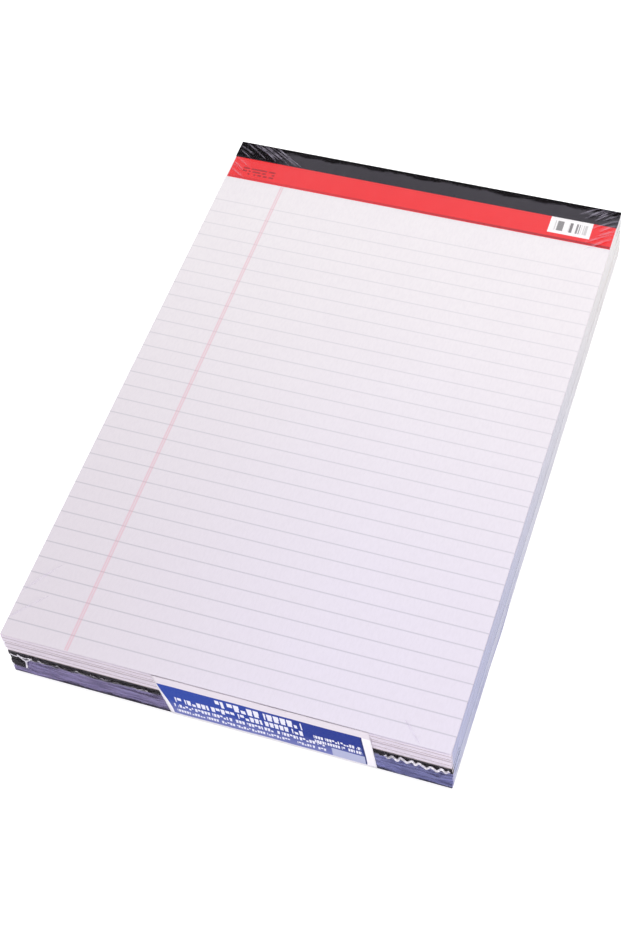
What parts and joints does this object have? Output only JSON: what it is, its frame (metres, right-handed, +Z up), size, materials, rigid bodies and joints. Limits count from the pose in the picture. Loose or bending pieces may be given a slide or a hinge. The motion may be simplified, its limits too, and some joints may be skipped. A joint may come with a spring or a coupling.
{
  "type": "shrink-wrapped pack of writing pads",
  "caption": "Flat pack of ruled writing pads with black taped heads and red header bands, stacked head to tail and sealed in clear shrink film with a blue and white label on one end.",
  "frame": {"origin": "middle of the lower face, on the surface that the pack lies on", "axes": "+X across the sheets to the right, +Y along the sheets towards the head of the top pad, +Z up"},
  "size_m": [0.2124, 0.3255, 0.0331],
  "materials": {
    "ruled_paper": "matte, ruled",
    "grey_board": "matte",
    "header_print": "printed red, satin",
    "binding_tape": "black cloth-grained tape",
    "staple_wire": "bright flat wire",
    "clear_film": "clear gloss",
    "label_print": "printed blue and white, satin"
  },
  "bodies": {
    "root": {"pad_01_sheet_block": "ruled_paper", "pad_01_backing_board": "grey_board", "pad_01_header_band": "header_print", "pad_01_binding_tape": "binding_tape", "pad_01_staples": "staple_wire", "pad_02_sheet_block": "ruled_paper", "pad_02_backing_board": "grey_board", "pad_02_header_band": "header_print", "pad_02_binding_tape": "binding_tape", "pad_02_staples": "staple_wire", "pad_03_sheet_block": "ruled_paper", "pad_03_backing_board": "grey_board", "pad_03_header_band": "header_print", "pad_03_binding_tape": "binding_tape", "pad_03_staples": "staple_wire", "pad_04_sheet_block": "ruled_paper", "pad_04_backing_board": "grey_board", "pad_04_header_band": "header_print", "pad_04_binding_tape": "binding_tape", "pad_04_staples": "staple_wire", "pad_05_sheet_block": "ruled_paper", "pad_05_backing_board": "grey_board", "pad_05_header_band": "header_print", "pad_05_binding_tape": "binding_tape", "pad_05_staples": "staple_wire", "pad_06_sheet_block": "ruled_paper", "pad_06_backing_board": "grey_board", "pad_06_header_band": "header_print", "pad_06_binding_tape": "binding_tape", "pad_06_staples": "staple_wire", "pad_07_sheet_block": "ruled_paper", "pad_07_backing_board": "grey_board", "pad_07_header_band": "header_print", "pad_07_binding_tape": "binding_tape", "pad_07_staples": "staple_wire", "pad_08_sheet_block": "ruled_paper", "pad_08_backing_board": "grey_board", "pad_08_header_band": "header_print", "pad_08_binding_tape": "binding_tape", "pad_08_staples": "staple_wire", "pad_09_sheet_block": "ruled_paper", "pad_09_backing_board": "grey_board", "pad_09_header_band": "header_print", "pad_09_binding_tape": "binding_tape", "pad_09_staples": "staple_wire", "pad_10_sheet_block": "ruled_paper", "pad_10_backing_board": "grey_board", "pad_10_header_band": "header_print", "pad_10_binding_tape": "binding_tape", "pad_10_staples": "staple_wire", "shrink_film": "clear_film", "pack_label": "label_print"}
  },
  "joints": []
}
